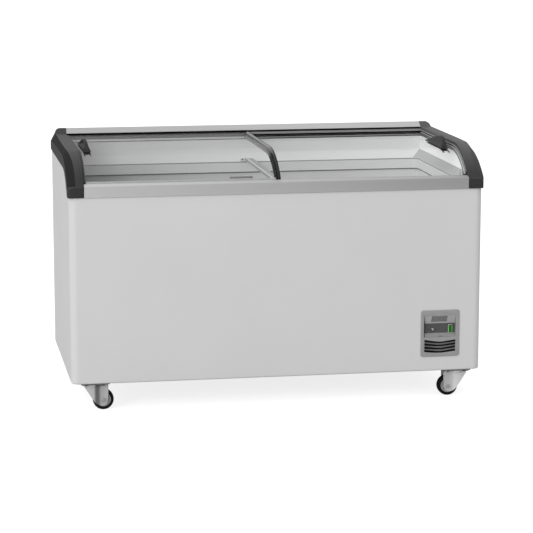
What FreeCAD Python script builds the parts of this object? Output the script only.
import FreeCAD, Part
import math
import os
from FreeCAD import Vector as V

os.makedirs("parts", exist_ok=True)

# Display chest freezer with two sliding lids of bent glass, on four casters.
# Millimetres. +X is the right-hand end seen from the front, +Y the back, +Z up.
# Origin: centre of the whole freezer's footprint, on the floor. The solids are laid out with
# y = 0 at the middle of the cabinet's sheets, and shifted by Y_SHIFT when they are written,
# because the rails and trims stand proud of the front only.

# ---------------------------------------------------------------- driving dimensions
# cabinet
W = 1500.0            # width
D = 755.0             # depth
Z_BODY = 100.0        # underside, which is the casters' height
SKIN = 1.2            # outer sheet
R_CORNER = 28.0       # front vertical corners
R_FOOT = 6.0          # bend along the bottom edges
FRONT_Y = -382.0      # face of the front rail and trims
Y_SHIFT = -(FRONT_Y + D / 2) / 2
SCREWS_XZ = [(side * 735.5, z) for side in (-1, 1) for z in (150, 400, 650, 860)]

# curved tops: centres are (y, z)
BEND_Y = -150.0       # where the bends of lids and sheets start
SHEET_TOP, SHEET_R = 890.0, 319.9                # top edge of the side sheets
SHEET_C = (BEND_Y, SHEET_TOP - SHEET_R)
BEVEL_TOP, BEVEL_R = 898.0, 313.9                # foot of the trims' bevel, at the outer face
BEVEL_C = (BEND_Y, BEVEL_TOP - BEVEL_R)
TRIM_TOP, TRIM_R = 917.0, 260.0                  # top of the end trims, inner part
TRIM_C = (-167.0, TRIM_TOP - TRIM_R)
LID_C = (BEND_Y, 620.6)

# rails and trims
RAIL_X = 695.5        # half length of both rails
TRIM_IN = 696.2       # inner face of the end trims
TRIM_EDGE = 741.0     # where the trims' bevel starts
TRIM_OUT = 754.0      # outer face of the end trims

# tank and machine compartment
TANK_X = 678.0        # half width inside the tank
TANK_Y = 303.0        # half depth inside the tank
TANK_FLOOR = 166.0
LINER_T = 1.0
COLLAR_Z = 760.0      # where the tank meets the collar
FACET = (799.0, 833.0)     # bottom and top of the collar's slope
STEP_X = 395.0        # left side of the step over the machine compartment
STEP_Z = 397.0        # top of that step
MACHINE_X = 455.0
MACHINE_Z = 340.0
PAN_TOP = 103.4       # level on which the machine and the foam stand

# insulation
TUBE_GAP = 11.0       # room for the evaporator tube between liner and foam
FOAM_X = TANK_X + LINER_T + TUBE_GAP   # inner faces of the foam
FOAM_Y = TANK_Y + LINER_T + TUBE_GAP
FOAM_END = 372.5      # outer front and back faces of the foam
FOAM_SIDE = 744.5     # outer end faces of the foam

# lids
GLASS_T = 4.0
GLASS_DROP = 1.0      # glass below the outside of its frame
SLOT_PLAY = 0.15
STRIP_DEPTH = 9.0
R_UP = 292.4          # outside of the upper (left) lid's frame
R_LOW = 277.4         # outside of the lower (right) lid's frame
LID_END = RAIL_X - 0.2
HANDLE_UP, HANDLE_LOW = 666.0, 654.0   # distance of the handles from the middle
HANDLE_Y = (-192.0, 50.0)              # front and rear end of the handles' feet

# casters
CASTER_X = 665.0      # swivel axes
CASTER_Y = 340.0
BOLT_DX, BOLT_DY = 40, 22
TRAIL = 30.0          # swivel axis to wheel axle
WHEEL_R = 37.5
WHEEL_W = 30.0
FORK_T = 2.5
AXLE_R = 4.0
BOLTS_XY = [
    (side * CASTER_X + dx, end * CASTER_Y + dy)
    for side in (-1, 1) for end in (-1, 1)
    for dx in (-BOLT_DX, BOLT_DX) for dy in (-BOLT_DY, BOLT_DY)
]

# fittings
DRAIN_X = -560
DRAIN_HOLE_R = 9.1
SPOUT_R, SPOUT_L = 8.0, 20.0     # hose stub of the drain
CORD_X, CORD_Z = 470, 130        # cord outlet
KNOB_X, KNOB_Z = 569.5, 255.0    # thermostat spindle
KNOB_R = 6.5
SPINDLE_HOLE_R = 3.05
SWITCH_X, SWITCH_Z = 637.0, 253.5     # rocker switch centre
FAN_X, FAN_Z = 600.0, 215.0
COMP_X, COMP_Y = 600.0, 190.0         # compressor axis
COMP_FEET = [(COMP_X + dx, COMP_Y + dy) for dx in (-96, 96) for dy in (-50, 50)]


# ---------------------------------------------------------------- helpers
def save(name, shape):
    solids = shape.Solids
    shape = solids[0] if len(solids) == 1 else Part.makeCompound(solids)
    shape.translated(V(0, Y_SHIFT, 0)).exportStep("parts/%s.step" % name)


def box(x0, x1, y0, y1, z0, z1):
    return Part.makeBox(x1 - x0, y1 - y0, z1 - z0, V(x0, y0, z0))


def cyl_y(r, x, y, z, length):
    return Part.makeCylinder(r, length, V(x, y, z), V(0, 1, 0))


def cyl_z(r, x, y, z, height):
    return Part.makeCylinder(r, height, V(x, y, z), V(0, 0, 1))


def outline(points, place):
    """Closed wire. A point is (a, b), or (a, b, am, bm) for an arc that comes through (am, bm)."""
    edges = []
    last = points[0][:2]
    for p in list(points[1:]) + [points[0][:2]]:
        end = p[:2]
        if len(p) == 4:
            edges.append(Part.Arc(place(*last), place(p[2], p[3]), place(*end)).toShape())
        elif math.dist(last, end) > 1e-7:
            edges.append(Part.makeLine(place(*last), place(*end)))
        last = end
    return Part.Wire(edges)


def prism_x(points, x0, x1):
    """Profile in (y, z), pushed along X."""
    wire = outline(points, lambda y, z: V(x0, y, z))
    return Part.Face(wire).extrude(V(x1 - x0, 0, 0))


def prism_y(points, y0, y1):
    """Profile in (x, z), pushed along Y."""
    wire = outline(points, lambda x, z: V(x, y0, z))
    return Part.Face(wire).extrude(V(0, y1 - y0, 0))


def prism_z(points, z0, z1):
    """Profile in (x, y), pushed along Z."""
    wire = outline(points, lambda x, y: V(x, y, z0))
    return Part.Face(wire).extrude(V(0, 0, z1 - z0))


def spun(profile, x, y, z):
    """Profile in (radius, offset along Y), turned about the line along Y through a point."""
    wire = outline(profile, lambda r, dy: V(x + r, y + dy, z))
    return Part.Face(wire).revolve(V(x, y, z), V(0, 1, 0), 360)


def cut(shape, *tools):
    for tool in tools:
        shape = shape.cut(tool)
    return shape


def fuse(shape, *others):
    for other in others:
        shape = shape.fuse(other)
    return shape.removeSplitter()


def flip_x(shape):
    return shape.mirror(V(0, 0, 0), V(1, 0, 0))


def round_off(r):
    """Distance of a quarter arc's mid point from both sides of its corner."""
    return r * (1 - math.sqrt(0.5))


def rounded(x0, x1, z0, z1, r):
    """Rounded rectangle as a list of points and arcs."""
    k = round_off(r)
    return [
        (x0 + r, z0), (x1 - r, z0), (x1, z0 + r, x1 - k, z0 + k),
        (x1, z1 - r), (x1 - r, z1, x1 - k, z1 - k),
        (x0 + r, z1), (x0, z1 - r, x0 + k, z1 - k),
        (x0, z0 + r), (x0 + r, z0, x0 + k, z0 + k),
    ]


def hexagon(a, b, r):
    angles = [math.radians(60 * i) for i in range(6)]
    return [(a + r * math.cos(t), b + r * math.sin(t)) for t in angles]


def on_arc(c, r, y):
    """Height at depth y of the top of the circle with centre c and radius r."""
    return c[1] + math.sqrt(r * r - (y - c[0]) ** 2)


def arc_to(c, r, y_from, y_to):
    """End point and mid point of an arc along the top of a circle, as outline() takes them."""
    y_mid = (y_from + y_to) / 2
    return (y_to, on_arc(c, r, y_to), y_mid, on_arc(c, r, y_mid))


def polar(c, r, deg):
    """Point at an angle from straight up, turning towards the front."""
    a = math.radians(deg)
    return (c[0] - r * math.sin(a), c[1] + r * math.cos(a))


def lid_section(r_out, r_in, y_rear, deg):
    """Profile between two radii of the lids' curve, from the rear to an angle on the bend."""
    z_out, z_in = LID_C[1] + r_out, LID_C[1] + r_in
    return [
        (y_rear, z_in), (y_rear, z_out), (BEND_Y, z_out),
        polar(LID_C, r_out, deg) + polar(LID_C, r_out, deg / 2),
        polar(LID_C, r_in, deg),
        (BEND_Y, z_in) + polar(LID_C, r_in, deg / 2),
    ]


def sweep(path, r, start, direction):
    """Round bar of radius r along a wire."""
    ring = Part.Wire([Part.makeCircle(r, start, direction)])
    pipe = path.makePipeShell([ring], True, False)
    # the sweep may come back as a closed shell
    return pipe if pipe.ShapeType == "Solid" else Part.Solid(pipe)


def tube(points, r, bend):
    """A bent round tube along a polyline whose corners are rounded to the bend radius."""
    pts = [V(*p) for p in points]
    edges = []
    last = pts[0]
    for before, corner, after in zip(pts, pts[1:], pts[2:]):
        back, ahead = (before - corner).normalize(), (after - corner).normalize()
        half_angle = back.getAngle(ahead) / 2
        reach = bend / math.tan(half_angle)
        p, q = corner + back * reach, corner + ahead * reach
        inward = (back + ahead).normalize()
        mid = corner + inward * (bend / math.sin(half_angle) - bend)
        if (p - last).Length > 1e-6:
            edges.append(Part.makeLine(last, p))
        edges.append(Part.Arc(p, mid, q).toShape())
        last = q
    edges.append(Part.makeLine(last, pts[-1]))
    return sweep(Part.Wire(edges), r, pts[0], (pts[1] - pts[0]).normalize())


def edges_at_y(shape, y):
    """Edges lying in the plane at depth y."""
    return [
        e for e in shape.Edges
        if abs(e.BoundBox.YMin - y) < 1e-4 and abs(e.BoundBox.YMax - y) < 1e-4
    ]


def circle_edges(shape):
    return [e for e in shape.Edges if e.Curve.TypeId == "Part::GeomCircle"]


# ---------------------------------------------------------------- outer cabinet
def plan(off, r, rear=D / 2):
    """Plan outline of the cabinet, inset by off."""
    x, y = W / 2 - off, D / 2 - off
    k = round_off(r)
    return [
        (-x, rear), (-x, -y + r), (-x + r, -y, -x + k, -y + k),
        (x - r, -y), (x, -y + r, x - k, -y + k), (x, rear),
    ]


def foot_edges(shape, z):
    """Bottom edges at the front and the ends, without the rear one."""
    keep = []
    for e in shape.Edges:
        b = e.BoundBox
        level = abs(b.ZMin - z) < 1e-4 and abs(b.ZMax - z) < 1e-4
        rear = abs(b.YMin - b.YMax) < 1e-4 and b.YMin > 0
        if level and b.YMin < D / 2 - 2.0 and not rear:
            keep.append(e)
    return keep


def outer_cabinet():
    shell_out = prism_z(plan(0, R_CORNER), Z_BODY, 900)
    shell_out = shell_out.makeFillet(R_FOOT, foot_edges(shell_out, Z_BODY))
    shell_in = prism_z(plan(SKIN, R_CORNER - SKIN, D / 2 - SKIN), Z_BODY + SKIN, 901)
    shell_in = shell_in.makeFillet(R_FOOT - SKIN, foot_edges(shell_in, Z_BODY + SKIN))
    x, y = W / 2, D / 2
    cabinet = cut(
        shell_out, shell_in,
        # open bottom and back, leaving a turned-in flange all round
        box(-x + 11, x - 11, -y + 11, y + 5, Z_BODY - 5, Z_BODY + 5),
        box(-x + 15, x - 15, y - 5, y + 5, Z_BODY - 5, 905),
        # the back flange is joggled in by one sheet so that the rear panel lies flush
        box(-741, 741, y - SKIN, y + 5, Z_BODY - 5, 905),
    )
    y_in = y - 2 * SKIN - 0.02
    joggle = box(-741, -730, y_in, y - SKIN - 0.02, Z_BODY + 6, 889)
    link = box(-745, -740.5, y_in, y - 0.6, Z_BODY + 6, 889)
    cabinet = fuse(cabinet, joggle, link, flip_x(joggle), flip_x(link))
    above_sheets = [
        (400, SHEET_TOP), (BEND_Y, SHEET_TOP), arc_to(SHEET_C, SHEET_R, BEND_Y, -D / 2),
        (-400, 795.0), (-400, 950), (400, 950),
    ]
    return cut(
        cabinet,
        prism_x(above_sheets, -760, 760),
        box(531, 662, -380, -370, 161, 319),                # control panel opening
        *[cyl_y(1.95, x, 370, z, 20) for x, z in SCREWS_XZ],
    )


# ---------------------------------------------------------------- rear panel, grille, base
def rear_panel():
    return cut(
        box(-740.5, 740.5, D / 2 - SKIN, D / 2, Z_BODY + 3, 893.4),
        box(490, 728, 370, 380, 125, 320),
        *[cyl_y(4.05, x, 370, z, 20) for x, z in SCREWS_XZ],
        cyl_y(9.05, CORD_X, 370, CORD_Z, 20),
        # stiffening swages pressed into the sheet
        *[box(-640, 640, D / 2 - 0.5, D / 2 + 1, z - 12, z + 12) for z in (430, 600, 770)],
    )


def rear_grille():
    """Plate with two columns of twelve slots."""
    slots = [
        box(x, x + 104, 370, 380, z, z + 8)
        for z in [134 + 16 * row for row in range(12)]
        for x in [500 + 112 * col for col in range(2)]
    ]
    return cut(box(482, 729.5, 372.9, 375.05, 116, 330), *slots)


def panel_screws():
    return Part.makeCompound([
        fuse(cyl_y(4.0, x, 376.35, z, 1.1), cyl_y(1.9, x, 374.2, z, 2.6)) for x, z in SCREWS_XZ
    ])


def base_pan():
    inset = SKIN + 5.0
    return cut(
        prism_z(plan(inset, R_CORNER - inset, 373.5), 101.3, 103.3),
        *[cyl_z(4.05, x, y, 95, 20) for x, y in BOLTS_XY],
        # air slots under the condenser
        *[box(500 + i * 22, 512 + i * 22, -250, -130, 95, 110) for i in range(9)],
        cyl_z(DRAIN_HOLE_R, DRAIN_X, 0, 95, 20),
    )


def machine_housing():
    """Left wall and roof of the machine compartment."""
    return fuse(
        box(MACHINE_X, MACHINE_X + 1, -372, 372, PAN_TOP, MACHINE_Z),
        box(MACHINE_X, 746, -350, 372, MACHINE_Z - 1, MACHINE_Z),
        box(MACHINE_X + 0.5, 700, -372, -350, MACHINE_Z - 1, MACHINE_Z),
    )


# ---------------------------------------------------------------- insulation
def lower_side_foam(side, z0):
    """Lower part of an end wall, with the front corner rounded in plan."""
    x_in, x_out = side * FOAM_X, side * FOAM_SIDE
    r, k = R_CORNER, round_off(R_CORNER)
    y = FOAM_END
    return prism_z([
        (x_in, y), (x_in, -y), (x_out - side * r, -y),
        (x_out, -y + r, x_out - side * k, -y + k), (x_out, y),
    ], z0, 768)


def upper_side_foam():
    """Right end wall inside the trim: its top runs 34 below the side sheet's."""
    c = (BEND_Y, SHEET_C[1] - 34)
    top = c[1] + SHEET_R
    z0, y_front = 768.1, -358.0
    block = prism_x([
        (FOAM_END, z0), (FOAM_END, top), (BEND_Y, top),
        arc_to(c, SHEET_R, BEND_Y, y_front), (y_front, z0),
    ], 702, 747)
    # keep it inside the outer cabinet's rounded corner
    return block.cut(box(720, 760, -400, -345, 700, 950))


def foam_insulation():
    left_to, right_from = MACHINE_X - 0.3, MACHINE_X - 0.2    # either side of the housing's wall
    x, y, y_end = FOAM_X - 0.05, FOAM_Y, FOAM_END
    low, over_machine = TANK_FLOOR - 1, MACHINE_Z + 0.2
    step_top = STEP_Z - 1.1
    floor = prism_z([
        (-744, y_end), (-744, -344), (-716, -y_end), (left_to, -y_end), (left_to, y_end),
    ], PAN_TOP, TANK_FLOOR - 1.1)
    upper = upper_side_foam()
    return Part.makeCompound([
        floor.cut(cyl_z(DRAIN_HOLE_R, DRAIN_X, 0, 95, 90)),
        lower_side_foam(-1, low),
        lower_side_foam(1, over_machine),
        # front wall
        box(-x, left_to, -y_end, -y, low, 768),
        box(right_from, x, -y_end, -y, over_machine, 768),
        # back wall
        box(-x, left_to, y, y_end, low, 778),
        box(right_from, x, y, y_end, over_machine, 778),
        box(-x, x, 321, y_end, 778.1, 878),
        # under the tank's step
        box(STEP_X + 1.1, left_to, -y + 0.05, y - 0.05, low, step_top),
        box(right_from, x, -y + 0.05, y - 0.05, over_machine, step_top),
        upper, flip_x(upper),
    ])


# ---------------------------------------------------------------- tank liner, evaporator, drain
def tank(off, top):
    """Stepped tank, grown by off, with its corner edges at both ends rounded."""
    x, y = TANK_X + off, TANK_Y + off
    block = prism_y([
        (-x, TANK_FLOOR - off), (STEP_X + off, TANK_FLOOR - off),
        (STEP_X + off, STEP_Z - off), (x, STEP_Z - off), (x, top), (-x, top),
    ], -y, y)
    corners = []
    for e in block.Edges:
        b = e.BoundBox
        upright = b.ZLength > 50 and b.XLength < 1e-3 and b.YLength < 1e-3
        at_end = min(abs(b.XMin + x), abs(b.XMin - x)) < 1e-3
        if upright and at_end and abs(abs(b.YMin) - y) < 1e-3:
            corners.append(e)
    return block.makeFillet(18 + off, corners)


def inner_liner():
    return cut(
        tank(LINER_T, COLLAR_Z - 0.5), tank(0.0, 780),
        cyl_z(DRAIN_HOLE_R, DRAIN_X, 0, 95, 90),
    )


def evaporator_tube():
    """Six passes round the front, left end and back of the liner, joined by U-turns."""
    x, y = TANK_X + LINER_T + 5.2, TANK_Y + LINER_T + 5.2
    x_turn = 620
    bend = 24.2
    k = round_off(bend)
    levels = [430 + 62 * i for i in range(6)]

    def one_pass(z):
        return [
            Part.makeLine(V(x_turn, -y, z), V(-x + bend, -y, z)),
            Part.Arc(V(-x + bend, -y, z), V(-x + k, -y + k, z), V(-x, -y + bend, z)).toShape(),
            Part.makeLine(V(-x, -y + bend, z), V(-x, y - bend, z)),
            Part.Arc(V(-x, y - bend, z), V(-x + k, y - k, z), V(-x + bend, y, z)).toShape(),
            Part.makeLine(V(-x + bend, y, z), V(x_turn, y, z)),
        ]

    def u_turn(y_turn, z0, z1):
        mid = V(x_turn + (z1 - z0) / 2, y_turn, (z0 + z1) / 2)
        return Part.Arc(V(x_turn, y_turn, z0), mid, V(x_turn, y_turn, z1)).toShape()

    edges = []
    for i, z in enumerate(levels):
        backward = i % 2 == 0
        edges += one_pass(z) if backward else reversed(one_pass(z))
        if i < len(levels) - 1:
            edges.append(u_turn(y if backward else -y, z, levels[i + 1]))
    path = Part.Wire(Part.__sortEdges__(edges))
    return sweep(path, 4.0, V(x_turn, -y, levels[0]), V(-1, 0, 0))


def drain_tube():
    """The spout under the cabinet is a plain stub that a hose is pushed over."""
    z = 97
    drain = fuse(
        cyl_z(9.0, DRAIN_X, 0, z, TANK_FLOOR - z),
        cyl_z(SPOUT_R, DRAIN_X, 0, z - SPOUT_L, SPOUT_L + 1),
        cyl_z(17.0, DRAIN_X, 0, TANK_FLOOR + 0.05, 2.0),
        cyl_z(8.0, DRAIN_X, 0, TANK_FLOOR - 1, 2.0),
    )
    return drain.cut(cyl_z(5.8, DRAIN_X, 0, 70, 94))


# ---------------------------------------------------------------- breaker collar and divider
def ring(x, y, z):
    return Part.makePolygon([V(-x, -y, z), V(x, -y, z), V(x, y, z), V(-x, y, z), V(-x, -y, z)])


def funnel(x_low, y_low, x_up, y_up, z_bottom, z_top):
    """Block that widens over the height of the collar's slope."""
    low = box(-x_low, x_low, -y_low, y_low, z_bottom, FACET[0])
    mid = Part.makeLoft([ring(x_low, y_low, FACET[0]), ring(x_up, y_up, FACET[1])], True, True)
    up = box(-x_up, x_up, -y_up, y_up, FACET[1], z_top)
    return low.fuse(mid).fuse(up)


def breaker_collar():
    # the ends follow the bend of the lids, and the front stays below the front rail
    above_ends = [
        (-152, 884.5), arc_to(LID_C, 263.9, -152, -320),
        (-330, 811), (-400, 811), (-400, 950), (-152, 950),
    ]
    collar = cut(
        funnel(675.5, 300.5, 693.0, 319.0, COLLAR_Z, 884),
        funnel(673, 298, 690, 316, COLLAR_Z - 5, 890),
        prism_x(above_ends, -760, 760),
        box(-760, 760, -330, -299, 808, 950),
    )
    # flange from the low front wall out to the front rail
    return fuse(collar, box(-693, 693, -336.5, -303.4, 805.5, 808))


def center_divider():
    bar = prism_y([
        (-12, 804), (20, 804), (20, 811.5), (-6.5, 811.5), (-6.5, 814.5), (-12, 814.5),
    ], -306, 296)
    bar = bar.cut(box(-9.5, 17.5, -303, 285, 803, 809))
    bar = fuse(bar, prism_y(rounded(-30, 22, 799, 812.5, 4), 296, 305))
    # the head seats on the sloping part of the collar
    return bar.common(funnel(672.7, 297.7, 689.7, 315.7, 760, 840))


# ---------------------------------------------------------------- rails, profiles in (y, z)
FRONT_RAIL = [
    (FRONT_Y, 771), (FRONT_Y, 811), (-381, 812.2), (-358.4, 817.6), (-358.4, 807.3),
    (-351.8, 807.3), (-351.8, 809.5), (-344.6, 809.5), (-344.6, 799), (-339, 799),
    (-339, 810.5), (-337, 810.5), (-337, 782), (-338.6, 782), (-338.6, 797), (-346.4, 797),
    (-346.4, 805.2), (-360.2, 805.2), (-360.2, 815), (-379.4, 809.6), (-379.4, 771),
]
REAR_RAIL = [
    (377.5, 894), (377.5, 933.5), (376.5, 934.5), (368.5, 934.5), (344.2, 918.2),
    (343.2, 917.2), (343.2, 915.6), (364, 915.6), (364, 908.5), (322, 908.5), (322, 902.5),
    (323.4, 902.5), (323.4, 907), (364, 907), (364, 894), (322, 894), (322, 886.5),
    (324, 886.5), (324, 892), (364, 892), (364, 882), (373.5, 882), (373.5, 894),
]
REAR_RAIL_HOLLOW = [
    (366, 917.5), (375.5, 917.5), (375.5, 932.5), (369, 932.5), (353, 921.8), (353, 917.5),
]


def front_rail():
    return prism_x(FRONT_RAIL, -RAIL_X, RAIL_X)


def rear_rail():
    return cut(
        prism_x(REAR_RAIL, -RAIL_X, RAIL_X),
        box(-700, 700, 366, 375.5, 896, 914),
        prism_x(REAR_RAIL_HOLLOW, -700, 700),
    )


# ---------------------------------------------------------------- end trims
def trim_profile(c, r, top, z_front):
    """(y, z) outline of a trim: flat top, bend and front edge."""
    return [
        (D / 2, 771), (D / 2, top), (c[0], top), arc_to(c, r, c[0], -375.7),
        (FRONT_Y, z_front), (FRONT_Y, 771),
    ]


def trim_blank():
    """Solid right trim: inner part, bevelled outside and raised end of the rear rail."""
    inner_profile = trim_profile(TRIM_C, TRIM_R, TRIM_TOP, 806.5)
    outer_profile = trim_profile(BEVEL_C, BEVEL_R, BEVEL_TOP, 788)
    inner = prism_x(inner_profile, TRIM_IN, TRIM_EDGE)
    bevel = Part.makeLoft([
        outline(inner_profile, lambda y, z: V(TRIM_EDGE, y, z)),
        outline(outer_profile, lambda y, z: V(TRIM_OUT, y, z)),
    ], True, True)
    raised = prism_x([
        (342.5, 915), (362, 935), (376, 935), (377.5, 933.5), (377.5, 915),
    ], TRIM_IN, TRIM_EDGE)
    raised = raised.cut(prism_y([
        (721, 935.01), (735, 926), (742, 914), (760, 914), (760, 950), (721, 950),
    ], 300, 400))
    return fuse(fuse(inner, bevel), raised)


def end_trim():
    """Right end trim, without the rib."""
    # lower edge of the outside
    under = [
        (400, 700), (400, 856), (-180, 856), arc_to((-180, 651), 205.0, -180, -346.2),
        (-346.2, 700),
    ]
    # rounded outer corner of the front cap
    r = 13
    corner = cut(
        box(740, 760, -390, -368, 760, 830),
        cyl_z(r, TRIM_OUT - r, -369, 755, 90),
        box(735, TRIM_OUT - r, -390, -368, 750, 840),
    )
    # room for the side sheet and the foam
    c = (BEND_Y, SHEET_C[1] + 0.8)
    top = c[1] + SHEET_R
    room = [
        (376.0, 700), (376.0, top), (BEND_Y, top), arc_to(c, SHEET_R, BEND_Y, -D / 2),
        (-378.6, on_arc(c, SHEET_R, -D / 2) - 3), (-378.6, 700),
    ]
    trim = cut(
        trim_blank(), prism_x(under, 690, 770), corner, prism_x(room, 699.6, 751.0)
    )
    # the inner leg carries on down to the collar; lid ends run past it
    leg = prism_x([
        (316, 845), (316, 872), (-152, 872), arc_to((-152.0, 620.6), 251.4, -152, -322),
        (-336.5, 790), (-336.5, 775), (-300, 775), (-240, 845),
    ], TRIM_IN + 0.4, 699.6)
    trim = fuse(trim, leg.cut(box(600, 800, 300, 420, 700, 950)))
    return cut(
        trim,
        box(690, 751.0, -378.2, -345, 700, 797),      # clear of the cabinet's front wall
        box(690, 751.0, 340, 390, 700, 893.8),        # open at the back for the rear sheet
    )


def left_trim():
    return flip_x(end_trim())


def right_trim():
    """With a rib in the upper lid's empty run above the lower lid's end."""
    rib = prism_x(lid_section(285.5, 283.0, 316, 43.0), 690.4, TRIM_IN + 0.8)
    return fuse(end_trim(), rib)


# ---------------------------------------------------------------- lids
def edge_strips(r, x0, x1, deg_glass, deg_strip, w_left, w_right, bump_stop):
    """Channels along both ends of the glass."""
    r_glass = r - GLASS_DROP
    slot = prism_x(lid_section(
        r_glass + SLOT_PLAY, r_glass - GLASS_T - SLOT_PLAY, 330, deg_glass + 1
    ), x0 + 1.5, x1 - 1.5)
    section = lid_section(r, r - STRIP_DEPTH, 315.8, deg_strip)
    left = prism_x(section, x0, x0 + w_left).cut(slot)
    right = prism_x(section, x1 - w_right, x1).cut(slot)
    if bump_stop:
        # under the meeting strip
        top = LID_C[1] + r
        right = fuse(right, prism_x([
            (-60, top - 9), (-60, top - 10.3), (-100, top - 10.3), (-100, top - 9),
        ], x1 - 7, x1 - 1))
    return Part.makeCompound([left, right])


def end_frames(r, x0, x1, w_left, w_right, groove_y, groove_z):
    """Rear frame with its running flange, and the front shoe in the rail's groove."""
    top = LID_C[1] + r
    rear = prism_x([
        (316, top - 10.5), (316, top), (321, top), (321, top - 0.2), (341, top - 0.2),
        (341, top - 3.8), (321.4, top - 3.8), (321.4, top - 10.5),
    ], x0 + 0.2, x1 - 0.2)
    slot_top = top - GLASS_DROP + SLOT_PLAY
    slot_bottom = top - GLASS_DROP - GLASS_T - SLOT_PLAY
    rear = rear.cut(prism_x([
        (300, slot_bottom), (300, slot_top), (318, slot_top), (318, slot_bottom),
    ], x0 + 1.4, x1 - 1.4))
    y0, y1 = groove_y
    r_in = r - GLASS_DROP - GLASS_T
    shoe = prism_x([
        (y0, groove_z), (y1, groove_z),
        (y1, on_arc(LID_C, r_in, y1) - 0.15), (y0, on_arc(LID_C, r_in, y0) - 0.15),
    ], x0 + w_left + 2, x1 - w_right - 2)
    return Part.makeCompound([rear, shoe])


def handle(r, side, x):
    """A foot that follows the glass, and a fin whose ridge rises towards the front."""
    r_foot = r - GLASS_DROP + 0.05
    z = LID_C[1] + r_foot
    y_front, y_back = HANDLE_Y
    foot = prism_x([
        (y_back, z), (y_back, z + 4), (BEND_Y, z + 4),
        arc_to(LID_C, r_foot + 4, BEND_Y, y_front), (y_front, on_arc(LID_C, r_foot, y_front)),
        arc_to(LID_C, r_foot, y_front, BEND_Y),
    ], *sorted((side * (x - 14), side * (x + 14))))
    # (y, height above the foot's underside)
    ridge = [
        (y_back - 5, 3.0), (y_back - 5, 5.0), (8, 12), (-45, 27), (-100, 35.8), (-134, 39.6),
        (-145, 39), (-155, 35), (-170, 20), (-186, 3.5), (-186, 0.8), (-160, 3.0),
    ]
    fin = prism_x(
        [(y, z + dz) for y, dz in ridge], *sorted((side * (x - 13), side * (x + 10)))
    )
    # both faces lean together: x offset at the foot, well outside, at the top
    for at_foot, outside, at_top in ((-13.0, -40, 5.0), (10.0, 30, 5.2)):
        fin = fin.cut(prism_y([
            (side * (x + at_foot), z + 4), (side * (x + outside), z + 4),
            (side * (x + outside), z + 60), (side * (x + at_top), z + 60),
        ], -260, 120))
    return fuse(foot, fin)


def handle_plate(r, side, x):
    """Counter plate under the glass, forked at its front end."""
    r_top = r - GLASS_DROP - GLASS_T - 0.05
    r_under = r_top - 2.6
    y_front, y_back = -216, 28
    plate = prism_x([
        (y_back, LID_C[1] + r_top), (BEND_Y, LID_C[1] + r_top),
        arc_to(LID_C, r_top, BEND_Y, y_front), (y_front, on_arc(LID_C, r_under, y_front)),
        arc_to(LID_C, r_under, y_front, BEND_Y), (y_back, LID_C[1] + r_under),
    ], *sorted((side * (x - 12.5), side * (x + 12.5))))
    x0, x1 = sorted((side * (x - 8.0), side * (x + 8.0)))
    return plate.cut(box(x0, x1, -230, -198, 850, 950))


def save_lid(prefix, side, r, x0, x1, deg_glass, deg_strip, w_left, w_right,
             handle_x, groove_y, groove_z):
    """All pieces of one lid; side is -1 for the left one and 1 for the right one."""
    r_glass = r - GLASS_DROP
    glass = prism_x(
        lid_section(r_glass, r_glass - GLASS_T, 317.5, deg_glass), x0 + 1.6, x1 - 1.6
    )
    save(prefix + "_glass", glass)
    save(prefix + "_edge_strips",
         edge_strips(r, x0, x1, deg_glass, deg_strip, w_left, w_right, bump_stop=side < 0))
    save(prefix + "_end_frames", end_frames(r, x0, x1, w_left, w_right, groove_y, groove_z))
    save(prefix + "_handle", handle(r, side, handle_x))
    save(prefix + "_handle_plate", handle_plate(r, side, handle_x))


def catch_pad():
    """Small pad stuck to the inside of the upper lid's lower edge."""
    corners = ((287.0, 43.1), (287.0, 44.5), (283.8, 44.5), (283.8, 43.1))   # radius, degrees
    return prism_x([polar(LID_C, r, deg) for r, deg in corners], -174, -91)


# ---------------------------------------------------------------- control panel
BEZEL_FACE = -381.5
# heights of the bent grooves at their left end, middle and right end
GROOVES = [
    (212.8, 204.7, 211.5), (200.1, 193.5, 200.3), (188.2, 181.5, 189.0), (176.2, 169.5, 177.0),
]


def switch_hole():
    return box(SWITCH_X - 6.7, SWITCH_X + 6.7, -390, -350, SWITCH_Z - 15.2, SWITCH_Z + 15.2)


def control_bezel():
    bezel = prism_y(rounded(524.2, 669.0, 153.7, 326.5, 9.0), BEZEL_FACE, -377.55)
    bezel = bezel.makeFillet(2.0, edges_at_y(bezel, BEZEL_FACE))
    # recessed tray with sloping strips along its top and bottom
    bezel = fuse(bezel, box(533.5, 658, -378, -362, 223.5, 309.5))
    bezel = bezel.cut(box(536, 655.5, -390, -366.5, 226, 307))
    bezel = fuse(
        bezel,
        prism_x([(-366.4, 274.5), (-366.4, 308), (-380.2, 308), (-380.2, 305.5)], 535.5, 656),
        prism_x([(-366.4, 240), (-377.5, 226.5), (-377.5, 225), (-366.4, 225)], 535.5, 656),
    )
    bezel = bezel.cut(box(534.2, 657.3, -364.5, -360, 224.5, 308.5))
    h = 3.0    # half height of a groove
    x_left, x_mid, x_right = 537.5, 595, 654.5
    for z_left, z_mid, z_right in GROOVES:
        bezel = bezel.cut(prism_y([
            (x_left, z_left - h), (x_mid, z_mid - h), (x_right, z_right - h),
            (x_right, z_right + h), (x_mid, z_mid + h), (x_left, z_left + h),
        ], -390, -370))
    return cut(bezel, cyl_y(5, KNOB_X, -390, KNOB_Z, 40), switch_hole())


def control_plate():
    return cut(
        box(536.1, 655.4, -368.4, -366.55, 240.3, 274.2),
        cyl_y(SPINDLE_HOLE_R, KNOB_X, -390, KNOB_Z, 40), switch_hole(),
    )


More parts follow.
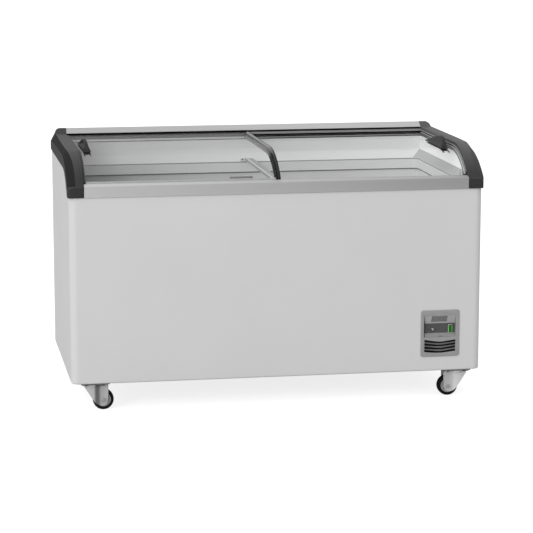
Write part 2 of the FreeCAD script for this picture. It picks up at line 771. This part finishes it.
def thermostat_body():
    body = fuse(
        box(KNOB_X - 17, KNOB_X + 17, -364.4, -336, KNOB_Z - 20, KNOB_Z + 20),
        cyl_y(6.0, KNOB_X, -336.2, KNOB_Z, 8),
    )
    return body.cut(cyl_y(SPINDLE_HOLE_R, KNOB_X, -370, KNOB_Z, 24))


def thermostat_knob():
    """Knob with its spindle and a slot across its face."""
    face = -379.4
    knob = fuse(
        cyl_y(3.0, KNOB_X, -378.0, KNOB_Z, 30.0),
        cyl_y(KNOB_R, KNOB_X, face, KNOB_Z, 9.5),
    )
    knob = knob.makeFillet(1.2, edges_at_y(knob, face))
    return knob.cut(box(KNOB_X - 0.8, KNOB_X + 0.8, -380, -378.2, KNOB_Z - 8, KNOB_Z + 8))


def switch_housing():
    x, z = SWITCH_X, SWITCH_Z
    housing = fuse(
        prism_y(rounded(x - 7.5, x + 7.5, z - 16, z + 16, 1.5), -370.9, -368.5),
        box(x - 6.6, x + 6.6, -369, -346, z - 15.1, z + 15.1),
        # two tabs at the back
        box(x - 3, x + 3, -346.5, -338, z - 9, z - 8),
        box(x - 3, x + 3, -346.5, -338, z + 8, z + 9),
    )
    return housing.cut(box(x - 5.6, x + 5.6, -380, -350, z - 14.4, z + 14.4))


def switch_rocker():
    z = SWITCH_Z
    return prism_x([
        (-372.8, z - 12.7), (-371.6, z), (-372.8, z + 12.7), (-364, z + 12.3),
        (-358, z + 4), (-358, z - 4), (-364, z - 12.3),
    ], SWITCH_X - 5.3, SWITCH_X + 5.3)


# ---------------------------------------------------------------- refrigeration machine
def compressor():
    x, y = COMP_X, COMP_Y
    shell = cyl_z(72, x, y, 124, 158)
    shell = shell.makeFillet(34, circle_edges(shell))
    seam = cyl_z(74.5, x, y, 198, 6)
    feet = cut(
        box(x - 108, x + 108, y - 62, y + 62, 119.1, 122.1),
        *[cyl_z(7.1, foot_x, foot_y, 110, 20) for foot_x, foot_y in COMP_FEET],
    )
    skirt = cyl_z(44, x, y, 121, 6)
    terminal = box(x - 110, x - 62, y - 26, y + 26, 160, 215)
    return fuse(shell, seam, feet, skirt, terminal)


def compressor_mounts():
    """Grommets that hold the compressor's feet."""
    mounts = []
    for x, y in COMP_FEET:
        grommet = fuse(
            cyl_z(12, x, y, PAN_TOP, 15.6), cyl_z(7, x, y, 119, 3.2), cyl_z(10, x, y, 122.15, 3)
        )
        mounts.append(grommet.cut(cyl_z(3.5, x, y, 100, 40)))
    return Part.makeCompound(mounts)


def condenser_coil():
    """Flat serpentine of eight rows in one upright plane."""
    x_left, x_right, y = 492, 716, -318
    z_low, pitch, rows = 128, 26, 8
    edges = []
    for i in range(rows):
        z = z_low + pitch * i
        rightward = i % 2 == 0
        a, b = V(x_left, y, z), V(x_right, y, z)
        edges.append(Part.makeLine(a, b) if rightward else Part.makeLine(b, a))
        if i < rows - 1:
            x = x_right if rightward else x_left
            bulge = pitch / 2 if rightward else -pitch / 2
            mid = V(x + bulge, y, z + pitch / 2)
            edges.append(Part.Arc(V(x, y, z), mid, V(x, y, z + pitch)).toShape())
    path = Part.Wire(Part.__sortEdges__(edges))
    return sweep(path, 4, V(x_left, y, z_low), V(1, 0, 0))


def fan_bracket():
    x, z = FAN_X, FAN_Z
    shroud = fuse(
        box(480, 722, -281.5, -280, 112, 322),
        box(480, 722, -281.5, -250, 110.5, 112),
        box(480, 722, -281.5, -250, 322, 323.5),
    )
    shroud = shroud.cut(cyl_y(88, x, -300, z, 40))
    # bar across the opening that carries the motor
    bracket = fuse(
        shroud,
        box(x - 96, x + 96, -233, -230, z - 6, z + 6),
        box(x - 98, x - 95, -281, -230, z - 6, z + 6),
        box(x + 95, x + 98, -281, -230, z - 6, z + 6),
    )
    bracket = bracket.cut(cyl_y(4.5, x, -240, z, 20))
    feet = [box(x0, x0 + 12, -262, -252, 103.45, 111) for x0 in (482, 708)]
    return fuse(bracket, *feet)


def fan_motor():
    return fuse(cyl_y(28, FAN_X, -229.9, FAN_Z, 42), cyl_y(3.0, FAN_X, -262, FAN_Z, 32.2))


def fan_blade():
    x, z = FAN_X, FAN_Z
    fan = cyl_y(17, x, -268, z, 18)
    for i in range(5):
        blade = box(x + 10, x + 78, -260.2, -258.2, z - 22, z + 22)
        blade = blade.common(cyl_y(79, x, -280, z, 40))
        blade.rotate(V(x, -259, z), V(1, 0, 0), 22)
        blade.rotate(V(x, -259, z), V(0, 1, 0), 72 * i)
        fan = fan.fuse(blade)
    return fan.cut(cyl_y(3.05, x, -300, z, 60)).removeSplitter()


def filter_drier():
    drier = cyl_z(11, 700, -130, 150, 110)
    return drier.makeFillet(8, circle_edges(drier))


def refrigerant_lines():
    to_condenser = [
        (600, 190, 282.3), (600, 190, 331), (480, 190, 331), (480, -318, 331),
        (480, -318, 310), (491.7, -318, 310),
    ]
    from_drier = [
        (700, -130, 260.2), (700, -130, 300), (640, -130, 300), (640, -60, 300),
        (640, -60, 338.6),
    ]
    behind_compressor = [(600, 262.5, 230), (600, 300, 230), (500, 300, 230), (500, 300, 338.6)]
    return Part.makeCompound([
        tube(to_condenser, 3.0, 5), tube(from_drier, 2.0, 10), tube(behind_compressor, 4.0, 14),
    ])


def power_cord():
    x = CORD_X
    cord = tube([
        (x, 377.2, CORD_Z), (x, 330, CORD_Z), (x, 330, 112), (x, -300, 112), (x, -300, 255),
    ], 4.0, 8)
    return fuse(cord, cyl_y(9.0, x, 368, CORD_Z, 9.4))


# ---------------------------------------------------------------- casters
# wheel profiles: (radius, offset along the axle)
HUB = [
    (4.05, -15.5), (9.5, -15.5), (9.5, -8), (22.5, -6), (22.5, -12), (25.8, -12),
    (25.8, 12), (22.5, 12), (22.5, 6), (9.5, 8), (9.5, 15.5), (4.05, 15.5),
]
TYRE = [
    (25.85, -12.5), (32.5, -14.2), (35.5, -13.2), (WHEEL_R, -8.5),
    (WHEEL_R, 8.5), (35.5, 13.2), (32.5, 14.2), (25.85, 12.5),
]


def caster_plates():
    plates = []
    for x in (-CASTER_X, CASTER_X):
        for y in (-CASTER_Y, CASTER_Y):
            plate = box(x - 52, x + 52, y - 34, y + 34, 96.9, 99.95)
            plate = plate.makeFillet(6, [e for e in plate.Edges if e.BoundBox.ZLength > 3])
            plates.append(cut(plate, cyl_z(6.05, x, y, 90, 20), *[
                cyl_z(4.05, x + dx, y + dy, 90, 20)
                for dx in (-BOLT_DX, BOLT_DX) for dy in (-BOLT_DY, BOLT_DY)
            ]))
    return Part.makeCompound(plates)


def caster_bolts():
    return Part.makeCompound([
        fuse(prism_z(hexagon(x, y, 6.8), 91.8, 96.8), cyl_z(3.95, x, y, 94, 9.2))
        for x, y in BOLTS_XY
    ])


def save_caster(tag, x, y, trail_sign):
    """Fork, axle, hub and tyre; the wheel trails the swivel axis (x, y) along X."""
    s = trail_sign
    wheel_x = x + TRAIL * s
    z = WHEEL_R
    half = WHEEL_W / 2 + 2.5    # half width inside the fork
    x_far, x_near = x - s * 38, wheel_x + s * 17.5
    leg = [
        (x_far, 90.5), (x_far, 86), (x - s * 4, z - 3.5),
        (wheel_x - s * 2, 14.8, wheel_x - s * 22.5, 20.5),
        (wheel_x + s * 15.5, z + 4, wheel_x + s * 11.0, 22.5),
        (x_near, 84), (x_near, 90.5),
    ]
    fork = fuse(
        prism_y(leg, y - half - FORK_T, y - half),
        prism_y(leg, y + half, y + half + FORK_T),
        box(min(x_far, x_near), max(x_far, x_near), y - half - FORK_T, y + half + FORK_T,
            88, 90.5),
        cyl_z(31.0, x, y, 89, 7.4),
        cyl_z(6.0, x, y, 92, 7.8),
    )
    save("fork_" + tag, fork.cut(cyl_y(AXLE_R + 0.02, wheel_x, y - 60, z, 120)))

    head = 5.0    # thickness of the hexagons at both ends of the axle
    save("axle_" + tag, fuse(
        cyl_y(AXLE_R, wheel_x, y - half - 4, z, 2 * half + 8),
        *[
            prism_y(hexagon(wheel_x, z, 7.5), y0, y0 + head)
            for y0 in (y - half - 2.6 - head, y + half + 2.6)
        ],
    ))
    save("hub_" + tag, spun(HUB, wheel_x, y, z))
    save("tyre_" + tag, spun(TYRE, wheel_x, y, z))


# ---------------------------------------------------------------- build
# each of these functions has the name of its file
for piece in (
    outer_cabinet, rear_panel, rear_grille, panel_screws, base_pan, machine_housing,
    foam_insulation, inner_liner, evaporator_tube, drain_tube, breaker_collar, center_divider,
    front_rail, rear_rail, left_trim, right_trim, catch_pad,
    control_bezel, control_plate, thermostat_body, thermostat_knob, switch_housing,
    switch_rocker, compressor, compressor_mounts, condenser_coil, fan_bracket, fan_motor,
    fan_blade, filter_drier, refrigerant_lines, power_cord, caster_plates, caster_bolts,
):
    save(piece.__name__, piece())

save_lid("left_lid", side=-1, r=R_UP, x0=-LID_END, x1=9.0, deg_glass=46.5, deg_strip=46.0,
         w_left=7.5, w_right=16.0, handle_x=HANDLE_UP, groove_y=(-357.6, -352.6), groove_z=807.8)
save_lid("right_lid", side=1, r=R_LOW, x0=-10.0, x1=LID_END, deg_glass=45.5, deg_strip=44.0,
         w_left=12.0, w_right=7.5, handle_x=HANDLE_LOW, groove_y=(-343.9, -339.6), groove_z=799.6)

# the wheels trail towards the middle of the freezer
for end_name, end in (("front", -1), ("rear", 1)):
    for side_name, side in (("left", -1), ("right", 1)):
        save_caster(end_name + "_" + side_name, side * CASTER_X, end * CASTER_Y, -side)
